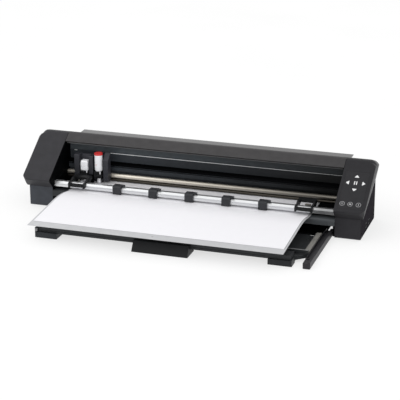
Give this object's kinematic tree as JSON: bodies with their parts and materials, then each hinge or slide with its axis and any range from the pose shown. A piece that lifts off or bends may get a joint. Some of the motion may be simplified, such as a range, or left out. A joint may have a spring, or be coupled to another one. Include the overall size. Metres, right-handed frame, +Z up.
{
  "type": "desktop vinyl cutter",
  "caption": "Wide desktop cutter with slanted end housings, touch panel, open lid, sliding tool carriage, pinch rollers on a bar, a loaded cutting mat and a pull-out roll drawer.",
  "frame": {"origin": "centre of the footprint of the whole object, from the front edge of the mat to the rear edge of the open lid, on the table", "axes": "+X along the machine towards the end with the touch panel, -Y towards the user, where the mat comes out, +Z up"},
  "size_m": [0.861, 0.4466, 0.163],
  "materials": {
    "body": "fine matt texture",
    "cap": "fine matt texture",
    "panel": "smooth gloss",
    "cover": "fine matt texture",
    "black_plastic": "matt",
    "dark_metal": "satin paint",
    "steel": "ground",
    "aluminium": "bright anodised",
    "white_plastic": "satin",
    "rubber": "matt",
    "board": "circuit board",
    "red_plastic": "satin",
    "lid": "high gloss",
    "mat": "satin, tacky upper side",
    "vinyl": "satin film"
  },
  "bodies": {
    "housing": {"base_pan": "body", "left_end_body": "body", "right_end_body": "body", "left_end_cap": "cap", "right_end_cap": "cap", "touch_panel": "panel", "top_cover": "cover", "rear_cover": "body", "platen": "black_plastic", "guide_beam": "dark_metal", "guide_rod": "steel", "lower_guide_rod": "steel", "pinch_bar": "aluminium", "feed_motor": "steel", "carriage_motor": "steel", "carriage_belt": "rubber", "main_board": "board", "power_inlet": "black_plastic", "data_port": "black_plastic", "rubber_foot_left": "rubber", "rubber_foot_right": "rubber", "roller_clip_1": "black_plastic", "roller_clip_2": "black_plastic", "roller_clip_3": "black_plastic", "roller_clip_4": "black_plastic", "roller_clip_5": "black_plastic"},
    "lever_1": {"clip_lever_1": "black_plastic"},
    "lever_2": {"clip_lever_2": "black_plastic"},
    "lever_3": {"clip_lever_3": "black_plastic"},
    "lever_4": {"clip_lever_4": "black_plastic"},
    "lever_5": {"clip_lever_5": "black_plastic"},
    "roller_1": {"pinch_roller_1": "rubber"},
    "roller_2": {"pinch_roller_2": "rubber"},
    "roller_3": {"pinch_roller_3": "rubber"},
    "roller_4": {"pinch_roller_4": "rubber"},
    "roller_5": {"pinch_roller_5": "rubber"},
    "carrier_left": {"roller_carrier_left": "black_plastic"},
    "roller_left": {"pinch_roller_left": "rubber"},
    "pulley_left": {"belt_pulley_left": "white_plastic"},
    "carrier_right": {"roller_carrier_right": "black_plastic"},
    "roller_right": {"pinch_roller_right": "rubber"},
    "pulley_right": {"belt_pulley_right": "white_plastic"},
    "feed_roller": {"drive_roller": "steel", "feed_gear": "white_plastic"},
    "pinion": {"feed_pinion": "aluminium"},
    "carriage": {"carriage_frame": "black_plastic"},
    "blade_holder": {"blade_tool": "white_plastic", "blade_clamp": "black_plastic"},
    "round_holder": {"round_tool": "white_plastic", "round_tool_cap": "red_plastic", "round_tool_clamp": "black_plastic"},
    "lid": {"sliding_lid": "lid"},
    "drawer": {"drawer_tray": "black_plastic", "roll_guide_left": "black_plastic", "roll_guide_right": "black_plastic", "drawer_handle": "black_plastic", "drawer_rail": "black_plastic", "steel_runner": "steel"},
    "media": {"cutting_mat": "mat", "vinyl_sheet": "vinyl"}
  },
  "joints": [
    {"name": "drawer_slide", "type": "slide", "parent": "housing", "child": "drawer", "axis": [0, 1, 0], "range_m": [0, 0.14]},
    {"name": "lid_swing", "type": "hinge", "parent": "housing", "child": "lid", "pos_m": [0, 0.15775, -0.05897], "axis": [1, 0, 0], "range_deg": [0, 33.2]},
    {"name": "carriage_slide", "type": "slide", "parent": "housing", "child": "carriage", "axis": [1, 0, 0], "range_m": [-0.02, 0.57]},
    {"name": "blade_press", "type": "slide", "parent": "carriage", "child": "blade_holder", "axis": [0, 0, 1], "range_m": [-0.001, 0], "stiffness_N_per_m": 400, "springref_m": 0.004},
    {"name": "round_press", "type": "slide", "parent": "carriage", "child": "round_holder", "axis": [0, 0, 1], "range_m": [-0.001, 0], "stiffness_N_per_m": 400, "springref_m": 0.004},
    {"name": "media_feed", "type": "slide", "parent": "housing", "child": "media", "axis": [0, -1, 0], "range_m": [0, 0.12]},
    {"name": "feed_roller_spin", "type": "hinge", "parent": "housing", "child": "feed_roller", "pos_m": [0, 0.05075, 0.0375], "axis": [1, 0, 0], "continuous": true},
    {"name": "pinion_spin", "type": "hinge", "parent": "housing", "child": "pinion", "pos_m": [0.3665, 0.07175, 0.0375], "axis": [1, 0, 0], "continuous": true},
    {"name": "roller_1_spin", "type": "hinge", "parent": "housing", "child": "roller_1", "pos_m": [-0.19, 0.05075, 0.0543], "axis": [1, 0, 0], "continuous": true},
    {"name": "roller_2_spin", "type": "hinge", "parent": "housing", "child": "roller_2", "pos_m": [-0.097, 0.05075, 0.0543], "axis": [1, 0, 0], "continuous": true},
    {"name": "roller_3_spin", "type": "hinge", "parent": "housing", "child": "roller_3", "pos_m": [-0.0045, 0.05075, 0.0543], "axis": [1, 0, 0], "continuous": true},
    {"name": "roller_4_spin", "type": "hinge", "parent": "housing", "child": "roller_4", "pos_m": [0.0885, 0.05075, 0.0543], "axis": [1, 0, 0], "continuous": true},
    {"name": "roller_5_spin", "type": "hinge", "parent": "housing", "child": "roller_5", "pos_m": [0.1795, 0.05075, 0.0543], "axis": [1, 0, 0], "continuous": true},
    {"name": "carrier_left_slide", "type": "slide", "parent": "housing", "child": "carrier_left", "axis": [1, 0, 0], "range_m": [-0.035, 0.065]},
    {"name": "roller_left_spin", "type": "hinge", "parent": "carrier_left", "child": "roller_left", "pos_m": [-0.295, 0.05075, 0.0543], "axis": [1, 0, 0], "continuous": true},
    {"name": "carrier_right_slide", "type": "slide", "parent": "housing", "child": "carrier_right", "axis": [1, 0, 0], "range_m": [-0.055, 0.05]},
    {"name": "roller_right_spin", "type": "hinge", "parent": "carrier_right", "child": "roller_right", "pos_m": [0.28, 0.05075, 0.0543], "axis": [1, 0, 0], "continuous": true},
    {"name": "lever_1_turn", "type": "hinge", "parent": "housing", "child": "lever_1", "pos_m": [-0.1751, 0.03425, 0.0688], "axis": [-1, 0, 0], "range_deg": [0, 80]},
    {"name": "lever_2_turn", "type": "hinge", "parent": "housing", "child": "lever_2", "pos_m": [-0.0821, 0.03425, 0.0688], "axis": [-1, 0, 0], "range_deg": [0, 80]},
    {"name": "lever_3_turn", "type": "hinge", "parent": "housing", "child": "lever_3", "pos_m": [0.0104, 0.03425, 0.0688], "axis": [-1, 0, 0], "range_deg": [0, 80]},
    {"name": "lever_4_turn", "type": "hinge", "parent": "housing", "child": "lever_4", "pos_m": [0.1034, 0.03425, 0.0688], "axis": [-1, 0, 0], "range_deg": [0, 80]},
    {"name": "lever_5_turn", "type": "hinge", "parent": "housing", "child": "lever_5", "pos_m": [0.1944, 0.03425, 0.0688], "axis": [-1, 0, 0], "range_deg": [0, 80]},
    {"name": "pulley_left_spin", "type": "hinge", "parent": "housing", "child": "pulley_left", "pos_m": [-0.385, 0.12975, 0.09], "axis": [0, 0, 1], "continuous": true},
    {"name": "pulley_right_spin", "type": "hinge", "parent": "housing", "child": "pulley_right", "pos_m": [0.385, 0.12975, 0.09], "axis": [0, 0, 1], "continuous": true}
  ],
  "couplings": [
    {"joint": "feed_roller_spin", "follows": "media_feed", "rad_per_m": 125},
    {"joint": "pinion_spin", "follows": "media_feed", "rad_per_m": -250},
    {"joint": "roller_1_spin", "follows": "media_feed", "rad_per_m": -153.85},
    {"joint": "roller_2_spin", "follows": "media_feed", "rad_per_m": -153.85},
    {"joint": "roller_3_spin", "follows": "media_feed", "rad_per_m": -153.85},
    {"joint": "roller_4_spin", "follows": "media_feed", "rad_per_m": -153.85},
    {"joint": "roller_5_spin", "follows": "media_feed", "rad_per_m": -153.85},
    {"joint": "roller_left_spin", "follows": "media_feed", "rad_per_m": -153.85},
    {"joint": "roller_right_spin", "follows": "media_feed", "rad_per_m": -153.85},
    {"joint": "pulley_left_spin", "follows": "carriage_slide", "rad_per_m": 135.14},
    {"joint": "pulley_right_spin", "follows": "carriage_slide", "rad_per_m": 135.14}
  ]
}
